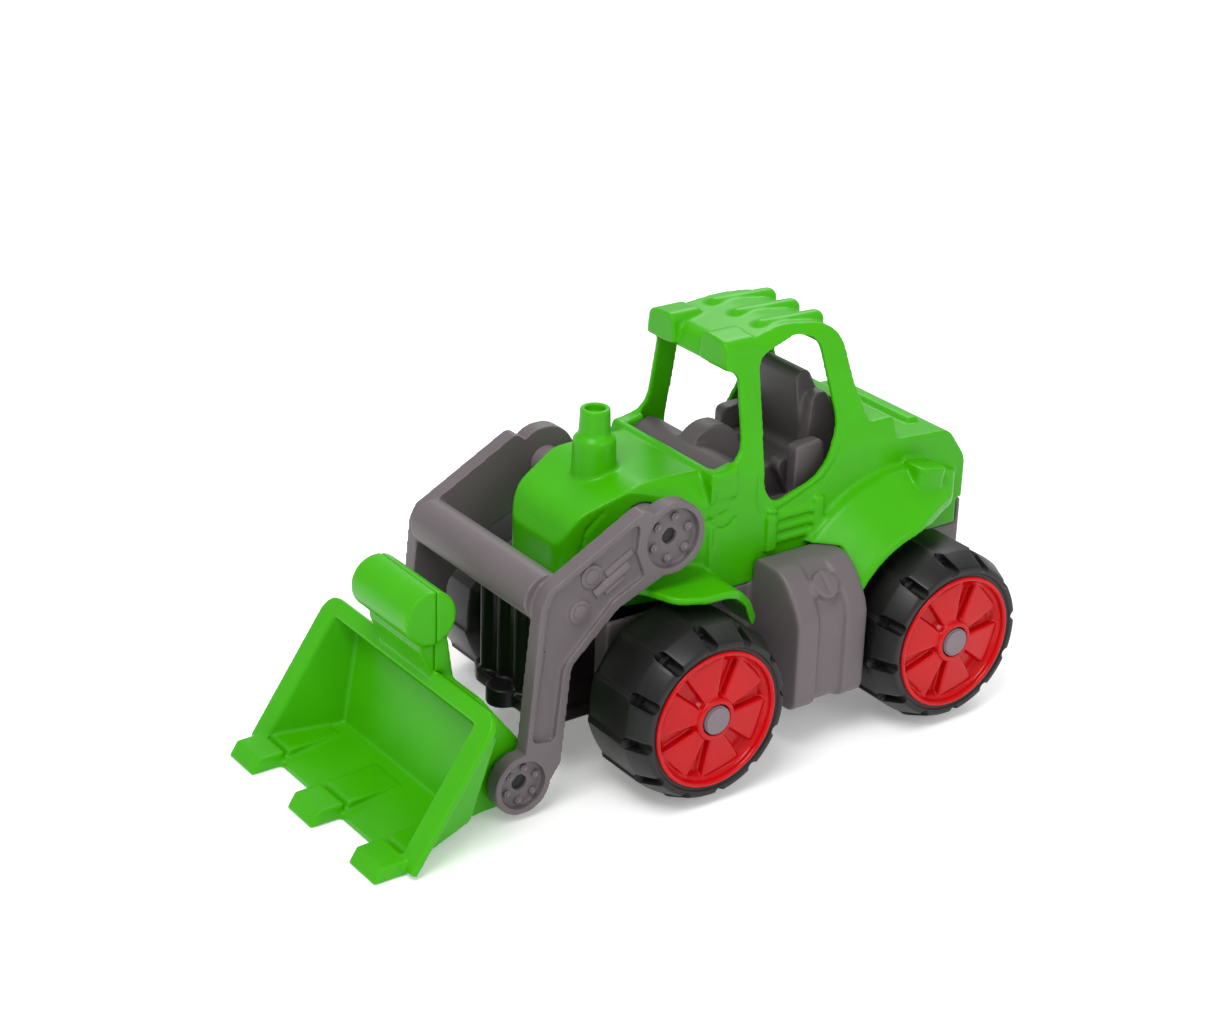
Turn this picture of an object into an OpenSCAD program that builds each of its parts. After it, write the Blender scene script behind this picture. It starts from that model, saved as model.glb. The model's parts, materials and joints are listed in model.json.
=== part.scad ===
// Toy front loader: a sandbox wheel loader with a lifting frame, a tipping bucket and free-rolling wheels.
// +X is the loader's left side, -Y is its front, +Z is up, and the ground is Z = 0.

/* [Wheels] */
// Outer diameter of a tyre over its lugs
tyre_d = 75; // [66:1:84]
// Width of a tyre
tyre_w = 37; // [30:1:40]
// Distance between the front and the rear axle
wheelbase = 122; // [116:1:150]
// Distance between the inner faces of the left and right tyres
track_inner = 80.5; // [76:0.5:92]
// Diameter of the rim's outer lip
rim_d = 57; // [50:1:62]
// Number of lugs round a tyre
lug_count = 12; // [8:1:16]
// Diameter of the steel axle rods
axle_d = 5; // [4:0.5:6]
// Diameter of a hub cap
cap_d = 11.8; // [9:0.2:14]

/* [Chassis] */
// Position of the front axle along Y
front_axle_y = -10; // [-14:1:-4]
// Length of the chassis behind the rear axle
rear_overhang = 38; // [30:1:48]
// Height of the chassis floor above the ground
clearance_z = 20; // [14:1:24]
// Height of the joint between the chassis and the body shell
split_z = 66; // [60:1:70]
// Wall thickness of the mouldings
wall = 2.4; // [1.8:0.2:3.2]
// Distance from the middle of the chassis to the outside of a side tank
tank_x = 66; // [58:1:72]

/* [Body] */
// Width of the cab and rear body
cab_w = 69; // [62:1:72]
// Width of the roof
roof_w = 51; // [45:1:56]
// Height of the roof above the ground
roof_z = 166; // [158:1:178]
// Height of the hood where it meets the cab
hood_z = 113; // [110:1:116]
// Distance from the middle of the loader to the edge of a fender
fender_x = 60; // [54:1:66]
// Outer diameter of the exhaust stack's upper part
stack_d = 12; // [8:1:13]
// Height of the top of the exhaust stack
stack_z = 141; // [132:1:150]

/* [Lift frame] */
// Distance between the inner faces of the two lift arms
arm_gap = 81; // [78:1:86]
// Thickness of a lift arm
arm_t = 7; // [6:0.5:10]
// Height of the upper pivot above the ground
pivot_z = 102.5; // [101:0.5:105]
// Distance from the front axle forward to the upper pivot
pivot_ahead = 1.5; // [0:0.5:4]
// Height of the bucket pivot above the ground
bucket_pivot_z = 15.5; // [14.5:0.5:17]
// Distance from the upper pivot forward to the bucket pivot
reach = 67; // [65:0.5:80]
// Radius of the upper boss
boss_r = 15; // [12.5:0.5:15.5]
// Radius of the lower boss
low_boss_r = 12.5; // [10:0.5:13]
// Radius of the cross tube
tube_r = 9.4; // [7:0.2:10]
// Diameter of the two pivot shafts
shaft_d = 6.3; // [5:0.1:8]

/* [Bucket] */
// Width of the bucket over its flange
bucket_w = 124; // [112:1:134]
// Width of the flange round the bucket's mouth
flange_w = 10; // [6:1:12]
// Width of a tooth
tooth_w = 19; // [14:1:22]
// Distance between neighbouring teeth
tooth_pitch = 47; // [40:1:50]
// Radius of the grip roll
grip_r = 11; // [8:0.5:12]
// Length of the grip roll
grip_w = 41; // [30:1:60]

/* [Hidden] */

GREEN = [0.27, 0.68, 0.02];
GREY = [0.45, 0.42, 0.44];
BLACK = [0.13, 0.13, 0.13];
RED = [0.80, 0.14, 0.16];
STEEL = [0.72, 0.73, 0.75];

// True circles and the coarser rounding of plain outlines
ROUND = 64;
CORNER_STEPS = 5;
// Running gap between a shaft and its hole, measured on the radius
run_gap = 0.05;
// Gap between neighbouring mouldings
fit_gap = 0.3;
// Cutters reach this far past the faces that they cut
over = 1;

axle_z = tyre_d / 2;
rear_axle_y = front_axle_y + wheelbase;
tyre_x = track_inner / 2;
side_x = tyre_x + tyre_w;
rear_y = rear_axle_y + rear_overhang;
front_y = front_axle_y - 22;
half_cab = cab_w / 2;
// The tub's sides line up with the cab's sides
tub_x = half_cab;
pivot_y = front_axle_y - pivot_ahead;
bucket_pivot_y = pivot_y - reach;
arm_x = arm_gap / 2;
lift_shaft_r = shaft_d / 2;
shaft_hole_r = lift_shaft_r + run_gap;
cap_face_x = side_x + 0.8;
cap_t = 4.6;
axle_hole_r = axle_d / 2 + run_gap;

function unit(v) = v / norm(v);

// The arc that replaces corner b of the outline a, b, c, each given as [across, up, radius]
function corner(a, b, c) =
    let (
        p = [b[0], b[1]],
        u = unit([a[0], a[1]] - p),
        v = unit([c[0], c[1]] - p),
        half = acos(max(-1, min(1, u * v))) / 2,
        room = 0.49 * min(norm([a[0], a[1]] - p), norm([c[0], c[1]] - p)),
        d = min(b[2] / tan(half), room),
        r = d * tan(half),
        m = p + unit(u + v) * r / sin(half),
        s = p + u * d - m,
        e = p + v * d - m,
        a0 = atan2(s[1], s[0]),
        turn = atan2(s[0] * e[1] - s[1] * e[0], s * e)
    )
    [for (i = [0:CORNER_STEPS]) m + r * [cos(a0 + turn * i / CORNER_STEPS), sin(a0 + turn * i / CORNER_STEPS)]];

// An outline with each corner rounded to its own radius; a radius of 0 keeps it sharp
function rounded(o) =
    let (n = len(o))
    [for (i = [0:n - 1]) each (o[i][2] == 0
        ? [[o[i][0], o[i][1]]]
        : corner(o[(i + n - 1) % n], o[i], o[(i + 1) % n]))];

// A plate with a side-view outline of [y, z, radius] points, from x0 to x1
module side_plate(outline, x0, x1) {
    translate([x0, 0, 0]) rotate([90, 0, 90]) linear_extrude(x1 - x0) polygon(rounded(outline));
}

// A block with a front-view outline of [x, z, radius] points, from y0 to y1
module front_block(outline, y0, y1) {
    translate([0, y1, 0]) rotate([90, 0, 0]) linear_extrude(y1 - y0) polygon(rounded(outline));
}

// A block with a top-view outline of [x, y, radius] points, from z0 to z1
module top_block(outline, z0, z1) {
    translate([0, 0, z0]) linear_extrude(z1 - z0) polygon(rounded(outline));
}

// A rod or hole along X, from x0 to x1, centred on y and z
module rod_x(r, x0, x1, y, z) {
    translate([x0, y, z]) rotate([0, 90, 0]) cylinder(r = r, h = x1 - x0, $fn = ROUND);
}

// A box from its lowest to its highest corner
module block(lo, hi) {
    translate(lo) cube(hi - lo);
}

// The same thing on the left and on the right
module both_sides() {
    children();
    mirror([1, 0, 0]) children();
}

// ---------------------------------------------------------------- wheels

tread_r = tyre_d / 2;
rim_r = rim_d / 2;
bead_gap = 0.05;
shoulder_in = 3.2;
shoulder_deep = 6;
notch_r = 2.4;
notch_x = 9;
notch_phase = 6;
rim_wall = 2;
web_x = 24;
web_t = 2.2;
hub_r = 9;
hub_pocket_r = cap_d / 2 + 0.9;
petals = 6;

// A tyre whose inner face is at X = 0 and whose outer face is at X = tyre_w
module tyre_shape() {
    difference() {
        rotate([0, 90, 0]) rotate_extrude($fn = 96)
            polygon([
                [rim_r + bead_gap, 0], [tread_r - 2, 0], [tread_r, 3],
                [tread_r, tyre_w - shoulder_deep], [tread_r - shoulder_in, tyre_w], [rim_r + bead_gap, tyre_w],
            ]);
        for (i = [0:lug_count - 1])
            rotate([i * 360 / lug_count + notch_phase, 0, 0])
                translate([0, 0, tread_r - shoulder_in + 0.3]) {
                    rod_x(notch_r, tyre_w - notch_x, tyre_w + over, 0, 0);
                    block([tyre_w - notch_x, -notch_r, 0], [tyre_w + over, notch_r, shoulder_in + over]);
                    block([5, -0.6, shoulder_in - 1.5], [tyre_w - 1, 0.6, shoulder_in + over]);
                }
    }
}

// A rim whose inner face is at X = 0 and whose lip stands just proud of the tyre's outer face
module rim_shape() {
    inside_r = rim_r - rim_wall;
    lip_x = tyre_w + 0.4;
    hub_x = tyre_w - 1.5;
    pocket_x = tyre_w + 0.8 - cap_t - 0.4;
    rotate([0, 90, 0]) rotate_extrude($fn = 96)
        polygon([
            [axle_hole_r, 0], [hub_r, 0], [hub_r, web_x], [inside_r, web_x], [inside_r, 0], [rim_r, 0],
            [rim_r, lip_x], [inside_r, lip_x], [inside_r - 1.6, tyre_w - 8], [hub_r, web_x + web_t],
            [hub_r, hub_x], [hub_pocket_r, hub_x], [hub_pocket_r, pocket_x], [axle_hole_r, pocket_x],
        ]);
    for (i = [0:petals - 1])
        rotate([i * 360 / petals, 0, 0])
            block([web_x + 0.5, -1, hub_r - 0.8], [tyre_w - 9, 1, inside_r + 0.8]);
}

// Puts a left-hand wheel part at an axle; side is 1 for left and -1 for right
module at_wheel(y, side) {
    translate([0, y, axle_z]) mirror([side < 0 ? 1 : 0, 0, 0]) translate([tyre_x, 0, 0]) children();
}

module axle_rod(y) {
    rod_x(axle_d / 2, -cap_face_x + 2, cap_face_x - 2, y, axle_z);
}

module cap_shape() {
    x1 = cap_face_x - tyre_x;
    difference() {
        union() {
            rod_x(cap_d / 2, x1 - cap_t, x1 - 0.5, 0, 0);
            rod_x(cap_d / 2 - 0.5, x1 - 0.6, x1, 0, 0);
        }
        rod_x(axle_d / 2 + 0.01, x1 - cap_t - over, x1 - 2, 0, 0);
    }
}

module front_axle() color(STEEL) axle_rod(front_axle_y);
module rear_axle() color(STEEL) axle_rod(rear_axle_y);
module hub_cap_front_left() color(GREY) at_wheel(front_axle_y, 1) cap_shape();
module hub_cap_front_right() color(GREY) at_wheel(front_axle_y, -1) cap_shape();
module hub_cap_rear_left() color(GREY) at_wheel(rear_axle_y, 1) cap_shape();
module hub_cap_rear_right() color(GREY) at_wheel(rear_axle_y, -1) cap_shape();
module tyre_front_left() color(BLACK) at_wheel(front_axle_y, 1) tyre_shape();
module tyre_front_right() color(BLACK) at_wheel(front_axle_y, -1) tyre_shape();
module tyre_rear_left() color(BLACK) at_wheel(rear_axle_y, 1) tyre_shape();
module tyre_rear_right() color(BLACK) at_wheel(rear_axle_y, -1) tyre_shape();
module rim_front_left() color(RED) at_wheel(front_axle_y, 1) rim_shape();
module rim_front_right() color(RED) at_wheel(front_axle_y, -1) rim_shape();
module rim_rear_left() color(RED) at_wheel(rear_axle_y, 1) rim_shape();
module rim_rear_right() color(RED) at_wheel(rear_axle_y, -1) rim_shape();

// ---------------------------------------------------------------- chassis

tyre_gap = 1;
tank_y0 = front_axle_y + tyre_d / 2 + 10.5;
tank_y1 = rear_axle_y - tyre_d / 2 - tyre_gap;
tank_top_z = split_z + 12;
tank_in_x = half_cab + fit_gap;
rib_y = 11;
rib_proud = 2.6;
// Screws as [across, along]; each one ties the body shell's post to the chassis post under it
screws = [[-14, front_axle_y + 16], [14, front_axle_y + 16], [-22, rear_axle_y + 16], [22, rear_axle_y + 16]];
screw_post_r = 5;
screw_r = 1.5;
screw_head_r = 2.8;
screw_seat_z = clearance_z + 12;
screw_end_z = split_z + 14;
// Feet of the cockpit stand on the chassis posts at these [across, along] points
feet = [[-24, 36], [24, 36], [-24, 92], [24, 92]];
foot_r = 4;
rear_panel_z = split_z + 11;
nose_y0 = front_axle_y - 47;
bearer_r = 6.5;
peg_x = 16;
peg_z = 50;
peg_r = 3;
peg_gap = 0.05;

// Front view of a side tank, drawn out to x1
function tank_outline(x1) = [
    [tub_x - wall, clearance_z, 0], [x1, clearance_z, 6], [x1, split_z - 5, 16],
    [x1 - 12, tank_top_z, 14], [tank_in_x + 2, tank_top_z, 4], [tank_in_x, tank_top_z - 5, 1],
    [tank_in_x, split_z, 0], [tub_x - wall, split_z, 0],
];

module tank() {
    front_block(tank_outline(tank_x - rib_proud), tank_y0, tank_y1);
    front_block(tank_outline(tank_x), tank_y0 + 0.01, tank_y0 + rib_y);
    front_block(tank_outline(tank_x), tank_y1 - rib_y, tank_y1 - 0.01);
    cap_z = split_z + 3;
    translate([tank_x - 8.5, (tank_y0 + tank_y1) / 2, cap_z]) rotate([0, 45, 0])
        difference() {
            translate([0, 0, -4]) cylinder(r = 6, h = 7.6, $fn = ROUND);
            block([-5, -0.8, 2.6], [5, 0.8, 5]);
        }
}

module chassis() color(GREY) {
    difference() {
        union() {
            block([-tub_x, front_y, clearance_z], [tub_x, rear_y, split_z]);
            block([-tub_x, rear_y - wall, clearance_z], [tub_x, rear_y, rear_panel_z]);
            both_sides() tank();
        }
        block([wall - tub_x, front_y + wall, clearance_z + wall],
            [tub_x - wall, rear_y - wall, split_z + over]);
        both_sides() front_block([
            [tub_x, clearance_z + wall, 0], [tank_x - rib_proud - wall, clearance_z + wall, 0],
            [tank_x - rib_proud - wall, split_z - 6, 6], [half_cab + 4, split_z + 4, 3],
            [half_cab + 4, split_z - 6, 0], [tub_x, split_z - 6, 0],
        ], tank_y0 + wall, tank_y1 - wall);
        for (y = [front_axle_y, rear_axle_y])
            rod_x(axle_hole_r, -side_x, side_x, y, axle_z);
        for (p = screws)
            translate([p[0], p[1], clearance_z - over]) cylinder(r = screw_head_r + fit_gap, h = 10, $fn = ROUND);
        for (x = [-peg_x, peg_x])
            translate([x, front_y + wall + over, peg_z]) rotate([90, 0, 0])
                cylinder(r = peg_r + peg_gap, h = wall + 2 * over, $fn = ROUND);
    }
    for (y = [front_axle_y, rear_axle_y])
        difference() {
            union() {
                rod_x(bearer_r, -tyre_x + 0.8, tyre_x - 0.8, y, axle_z);
                block([wall - tub_x - 0.1, y - 2, clearance_z + 0.5], [tub_x - wall + 0.1, y + 2, axle_z]);
            }
            rod_x(axle_hole_r, -side_x, side_x, y, axle_z);
        }
    for (p = screws)
        translate([p[0], p[1], 0]) difference() {
            translate([0, 0, clearance_z]) cylinder(r = screw_post_r, h = split_z - clearance_z, $fn = ROUND);
            translate([0, 0, clearance_z - over])
                cylinder(r = screw_head_r + fit_gap, h = screw_seat_z - clearance_z + over, $fn = ROUND);
            translate([0, 0, clearance_z]) cylinder(r = screw_r + run_gap, h = split_z, $fn = ROUND);
        }
    for (p = feet)
        translate([p[0], p[1], clearance_z + 1]) cylinder(r = foot_r, h = split_z - clearance_z - 1, $fn = ROUND);
}

// Stepped nose in front of the tub, with upright ribs and a towing lug on its sill
module front_nose() color(BLACK) {
    top = split_z + 12;
    difference() {
        nose_ribs(top);
        side_plate([
            [front_y + over, split_z, 0], [-24, split_z - fit_gap, 0], [-46 - fit_gap, split_z + 14 - fit_gap, 0],
            [-46, split_z + 30, 0], [front_y + over, split_z + 30, 0],
        ], -40, 40);
    }
    nose_base();
}

module nose_ribs(top) {
    top_block([
        [-27, front_y, 0], [-27, nose_y0 + 10, 4], [-15, nose_y0 + 4, 4],
        [15, nose_y0 + 4, 4], [27, nose_y0 + 10, 4], [27, front_y, 0],
    ], clearance_z + 8, top);
    for (x = [-18, -6, 6, 18])
        translate([x, nose_y0 + 5.5, clearance_z + 8]) cylinder(r = 4, h = top - clearance_z - 12, $fn = ROUND);
}

// Sill with its lug, and the two pegs that press into the tub
module nose_base() {
    top_block([
        [-28, front_y, 0], [-28, nose_y0 + 4, 5], [-20, nose_y0, 5], [20, nose_y0, 5],
        [28, nose_y0 + 4, 5], [28, front_y, 0],
    ], clearance_z + 4, clearance_z + 10);
    translate([0, nose_y0, clearance_z + 4]) cylinder(r = 7, h = 8, $fn = ROUND);
    for (x = [-peg_x, peg_x])
        translate([x, front_y + wall + 2, peg_z]) rotate([90, 0, 0]) cylinder(r = peg_r, h = wall + 4, $fn = ROUND);
}

module body_screws() color(STEEL) {
    for (p = screws)
        translate([p[0], p[1], 0]) {
            translate([0, 0, screw_seat_z - 2]) cylinder(r = screw_head_r, h = 2, $fn = ROUND);
            translate([0, 0, screw_seat_z - 1]) cylinder(r = screw_r, h = screw_end_z - screw_seat_z, $fn = ROUND);
        }
}

// ---------------------------------------------------------------- body shell

roof_h = roof_w / 2;
windshield_y = 18;
pillar_back_y = 97;
deck_z = hood_z - 1;
fender_r = tyre_d / 2 + 6.5;
fender_t = 3;
sleeve_r = 7;
bar_r = 4;

// Side view of the cab and rear body, grown outwards by g
function cab_side(g) = [
    [windshield_y - 2 - g, split_z - (g < 0 ? over : 0), 0], [windshield_y - 2 - g, hood_z + 1 + g, 9],
    [29 - g, roof_z - 10, 3], [31 - g, roof_z - 2 + g, 5], [58, roof_z + 2 + g, 40],
    [84 + g, roof_z - 1 + g, 16], [90 + g, 140, 20], [pillar_back_y + g, 122, 0],
    [110 + g, 122 + g * 2, 3], [111 + g, deck_z + g, 2], [140 + g, deck_z - 2 + g, 8],
    [rear_y + g, 96, 10], [rear_y + g, split_z - (g < 0 ? over : 0), 0],
];

// Front view of the cab, with sides that lean in from the waist to the roof
function cab_front(g) = [
    [-half_cab - g, split_z - over, 0], [-half_cab - g, hood_z, 20], [-roof_h - g, roof_z - 3, 6],
    [-roof_h + 6, roof_z + 4 + g, 4], [roof_h - 6, roof_z + 4 + g, 4], [roof_h + g, roof_z - 3, 6],
    [half_cab + g, hood_z, 20], [half_cab + g, split_z - over, 0],
];

module cab_block(g) {
    intersection() {
        side_plate(cab_side(g), -half_cab - 2, half_cab + 2);
        front_block(cab_front(g), windshield_y - 10, rear_y + 5);
    }
}

// The hood narrows and drops to a round nose; it is drawn as a side view cut by a top view
hood_side = [
    [windshield_y, split_z, 0], [windshield_y, hood_z + 3, 0], [-14, hood_z + 4, 40], [-38, 107, 14],
    [-47, 88, 8], [-46, split_z + 14, 2], [-24, split_z, 0],
];

function hood_top(g) = [
    [-half_cab - g, windshield_y + 1, 0], [-28.5 - g, -8, 20], [-19 - g, -44 - g, 9],
    [19 + g, -44 - g, 9], [28.5 + g, -8, 20], [half_cab + g, windshield_y + 1, 0],
];

function hood_front(g) = [
    [-half_cab - g, split_z - over, 0], [-half_cab - g, 103, 6], [-25, hood_z + 5 + g, 12],
    [25, hood_z + 5 + g, 12], [half_cab + g, 103, 6], [half_cab + g, split_z - over, 0],
];

module hood_block(g) {
    intersection() {
        side_plate([for (p = hood_side) [p[0], p[1] + g * (p[1] > 90 ? 1 : 0), p[2]]], -40, 40);
        top_block(hood_top(g), split_z - over, hood_z + 10);
        front_block(hood_front(g), -60, windshield_y + 1);
    }
}

// Front fender: a shelf over the tyre whose tail drops behind it
module front_fender() {
    z = tyre_d + 3;
    intersection() {
        side_plate([
            [-34, z + 4, 2], [-12, z + 3, 30], [12, z + 2, 14], [24, z - 9, 8], [31, z - 20, 2],
            [27, z - 22, 2], [19, z - 9, 10], [10, z - 1, 14], [-12, z, 30], [-33, z + 1, 1],
        ], 26, fender_x);
        top_block([
            [24, -36, 0], [33, -32, 8], [43, -20, 8], [56, -15, 10], [fender_x, -4, 8],
            [fender_x, 12, 20], [46, 34, 8], [24, 40, 0],
        ], split_z - 14, z + 20);
    }
}

// Rear fender: a turned shell over the rear tyre that rises inwards to the body's side
module rear_fender() {
    lip = fender_r + fender_t;
    intersection() {
        translate([0, rear_axle_y, axle_z]) rotate([0, 90, 0]) rotate_extrude($fn = 96)
            polygon([
                [lip + 17, half_cab - wall], [lip + 15, half_cab + 5], [lip + 7, 50], [lip, fender_x - 1],
                [fender_r, fender_x], [fender_r, fender_x - 4], [lip + 4, 49], [lip + 12, half_cab + 4],
                [lip + 14, half_cab - wall],
            ]);
        top_block([
            [0, 60, 0], [fender_x, 60, 0], [fender_x, 104, 30], [50, rear_y - 20, 12],
            [half_cab - wall, rear_y - 3, 0], [0, rear_y - 3, 0],
        ], split_z - 4, 130);
        side_plate([
            [60, split_z - 5, 0], [rear_axle_y - 10, split_z - 5, 0], [rear_axle_y + 20, 79, 0],
            [rear_y, 79, 0], [rear_y, 120, 0], [60, 120, 0],
        ], 0, fender_x + over);
    }
    translate([42, rear_axle_y + 8, axle_z + lip + 9]) rotate([-10, 0, 0])
        top_block([[-7, -7.5, 4], [6, -7.5, 4], [6, 7.5, 4], [-7, 7.5, 4]], 0, 8);
}

module side_window() {
    side_plate([
        [42.5, 106, 10], [43, 158, 7], [62, 164, 14], [73.5, 160.5, 10],
        [81, 124, 18], [72, 105, 16], [48, 97.5, 7],
    ], -50, 50);
}

// The windshield opening wraps round the front corners, back to the front pillars
module windshield() {
    side_plate([
        [0, hood_z + 4.5, 0], [32, hood_z + 4.5, 10], [33, roof_z - 10.5, 6], [0, roof_z - 10.5, 0],
    ], -half_cab - 5, half_cab + 5);
}

module rear_window() {
    front_block([
        [-24, 127, 5], [24, 127, 5], [20, roof_z - 14, 6], [-20, roof_z - 14, 6],
    ], 76, 100);
}

module roof_details() {
    both_sides() front_block([
        [8, roof_z - 10, 1], [26.5, roof_z - 12, 1], [25.5, roof_z + 0.5, 4], [9.5, roof_z + 2, 4],
    ], 27, 42);
    for (x = [-15, 0, 15])
        translate([x, 52, roof_z - bar_r + 3]) rotate([-2, 0, 0]) {
            rotate([-90, 0, 0]) cylinder(r = bar_r, h = 27, $fn = ROUND);
            sphere(r = bar_r, $fn = ROUND);
            translate([0, 27, 0]) sphere(r = bar_r, $fn = ROUND);
        }
}

module ladder() {
    for (y = [46, 70])
        side_plate([[y - 2.5, split_z + 1, 0], [y - 2.5, 97, 2], [y + 2.5, 97, 2], [y + 2.5, split_z + 1, 0]],
            half_cab - 1, half_cab + 2.2);
    for (z = [82, 87, 92])
        block([half_cab - 1, 47, z - 1.2], [half_cab + 1.2, 69, z + 1.2]);
}

module stack() {
    y = -16;
    base_z = pivot_z + sleeve_r + 1;
    step_z = stack_z - 12.5;
    difference() {
        translate([0, y, base_z]) {
            cylinder(r1 = stack_d / 2 + 3.2, r2 = stack_d / 2 + 2.5, h = step_z - base_z, $fn = ROUND);
            translate([0, 0, step_z - base_z - 0.1])
                cylinder(r1 = stack_d / 2 + 2.5, r2 = stack_d / 2 + 0.6, h = 2, $fn = ROUND);
            cylinder(r1 = stack_d / 2 + 1, r2 = stack_d / 2, h = stack_z - base_z, $fn = ROUND);
        }
        translate([0, y, stack_z - 4]) cylinder(d = stack_d - 4, h = 5, $fn = ROUND);
    }
}

module body_shell() color(GREEN) {
    difference() {
        union() {
            cab_block(0);
            hood_block(0);
            both_sides() {
                front_fender();
                rear_fender();
                ladder();
            }
            roof_details();
        }
        cab_block(-wall);
        hood_block(-wall);
        side_window();
        windshield();
        rear_window();
        rod_x(sleeve_r + fit_gap, -50, 50, pivot_y, pivot_z);
        block([-tub_x - 4, rear_y - wall - fit_gap, split_z - over],
            [tub_x + 4, rear_y + over, rear_panel_z + fit_gap]);
        block([-28, windshield_y - 8, split_z - over], [28, windshield_y + 6, hood_z - 3]);
        block([-tub_x - fit_gap, nose_y0, clearance_z], [tub_x + fit_gap, rear_y + over, split_z]);
        both_sides() block([half_cab, tank_y0 - fit_gap, clearance_z],
            [side_x, tank_y1 + fit_gap, tank_top_z + fit_gap]);
    }
    for (p = screws)
        translate([p[0], p[1], 0]) difference() {
            translate([0, 0, split_z])
                cylinder(r = screw_post_r, h = hood_z - split_z + (p[1] > rear_axle_y ? -4 : 2.5), $fn = ROUND);
            translate([0, 0, split_z - over])
                cylinder(r = screw_r + run_gap, h = screw_end_z - split_z + over, $fn = ROUND);
        }
    stack();
}

// ---------------------------------------------------------------- cockpit

module cockpit() color(GREY) {
    floor_z = split_z + 20;
    half = half_cab - wall - 1;
    y0 = windshield_y + wall + 1;
    y1 = 108;
    difference() {
        block([-half, y0, floor_z], [half, y1, floor_z + 10]);
        block([-half + 7, 46, floor_z + 3], [half - 7, y1 - 8, floor_z + 11]);
    }
    intersection() {
        rod_x(11, -half + 2, half - 2, y0 + 9, floor_z + 20);
        block([-half, y0, floor_z + 9], [half, y0 + 26, floor_z + 40]);
    }
    block([-half + 2, y0, floor_z + 9], [half - 2, y0 + 19, floor_z + 20]);
    rod_x(13, -5, 5, 40, floor_z + 24);
    for (x = [-15.4, 15.4])
        side_plate([
            [70, floor_z + 2, 0], [60, floor_z + 21, 3], [76, floor_z + 23, 4], [78, floor_z + 46, 4],
            [85, floor_z + 48, 4], [93, floor_z + 32, 3], [96, floor_z + 2, 0],
        ], x - 3, x + 3);
    difference() {
        side_plate([
            [60, floor_z + 2, 0], [58, floor_z + 18, 3], [78, floor_z + 20, 4], [73, floor_z + 55, 4],
            [80, floor_z + 56, 4], [92, floor_z + 32, 3], [96, floor_z + 2, 0],
        ], -13, 13);
        side_plate([
            [63, floor_z + 1, 0], [61, floor_z + 15, 1], [81, floor_z + 17, 1], [77, floor_z + 50, 1],
            [79, floor_z + 51, 1], [89, floor_z + 31, 1], [93, floor_z + 1, 0],
        ], -10.5, 10.5);
    }
    for (x = [-24, 24])
        side_plate([
            [64, floor_z + 2, 0], [64, floor_z + 30, 3], [78, floor_z + 31, 3], [84, floor_z + 2, 0],
        ], x - 3, x + 3);
    for (p = feet)
        translate([p[0], p[1], split_z]) cylinder(r = foot_r, h = floor_z + 1 - split_z, $fn = ROUND);
}

// ---------------------------------------------------------------- lift frame

link_outline = [
    [pivot_y - 7, pivot_z + 6, 0], [pivot_y - 9, pivot_z + 11, 1], [pivot_y - 14, pivot_z + 15, 3],
    [pivot_y - 57, pivot_z - 8, 5], [pivot_y - 60, pivot_z - 14, 5],
    [bucket_pivot_y + 1, bucket_pivot_z + 14, 4], [bucket_pivot_y, bucket_pivot_z, 0],
    [bucket_pivot_y + 9, bucket_pivot_z - 6, 3], [bucket_pivot_y + 17, bucket_pivot_z + 5, 3],
    [bucket_pivot_y + 21, bucket_pivot_z + 45, 8], [pivot_y - 25, pivot_z - 23, 8],
    [pivot_y - 10, pivot_z - 17, 3], [pivot_y - 4, pivot_z - 14.5, 1], [pivot_y, pivot_z - 8, 0],
];
tube_y = pivot_y - 54;
tube_z = pivot_z - 13.8;
recess = 2.2;
dish = 3;

module hex_nuts(y, z, ring_r, nut_r, x0, x1) {
    for (i = [0:5])
        translate([x0, y + ring_r * cos(60 * i + 20), z + ring_r * sin(60 * i + 20)])
            rotate([0, 90, 0]) cylinder(r = nut_r, h = x1 - x0, $fn = 6);
}

module arm() {
    x1 = arm_x + arm_t;
    difference() {
        union() {
            side_plate(link_outline, arm_x, x1);
            rod_x(boss_r, arm_x, x1, pivot_y, pivot_z);
            rod_x(low_boss_r, arm_x, x1, bucket_pivot_y, bucket_pivot_z);
        }
        rod_x(boss_r - 2.8, x1 - dish, x1 + over, pivot_y, pivot_z);
        rod_x(low_boss_r - 2.6, x1 - dish, x1 + over, bucket_pivot_y, bucket_pivot_z);
        side_plate([
            [pivot_y - 17, pivot_z - 2, 2], [pivot_y - 15.5, pivot_z + 11, 2], [pivot_y - 54, pivot_z - 9.5, 4],
            [pivot_y - 57, pivot_z - 15, 4], [bucket_pivot_y + 4, bucket_pivot_z + 17, 2],
            [bucket_pivot_y + 14, bucket_pivot_z + 15, 2], [bucket_pivot_y + 17.5, bucket_pivot_z + 46, 9],
            [pivot_y - 27, pivot_z - 19, 8], [pivot_y - 13, pivot_z - 12.5, 2],
        ], x1 - recess, x1 + over);
        rod_x(shaft_hole_r, arm_x - over, x1 + over, pivot_y, pivot_z);
        rod_x(shaft_hole_r, arm_x - over, x1 + over, bucket_pivot_y, bucket_pivot_z);
    }
    hex_nuts(pivot_y, pivot_z, 8.4, 1.7, x1 - dish - 0.5, x1 - dish + 1);
    hex_nuts(bucket_pivot_y, bucket_pivot_z, 6.8, 1.4, x1 - dish - 0.5, x1 - dish + 1);
    rod_x(4.8, x1 - recess - 0.5, x1 - recess + 0.8, pivot_y - 37, pivot_z - 7);
    rod_x(4.8, x1 - recess - 0.5, x1 - recess + 0.8, pivot_y - 42, pivot_z - 20.5);
}

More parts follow.
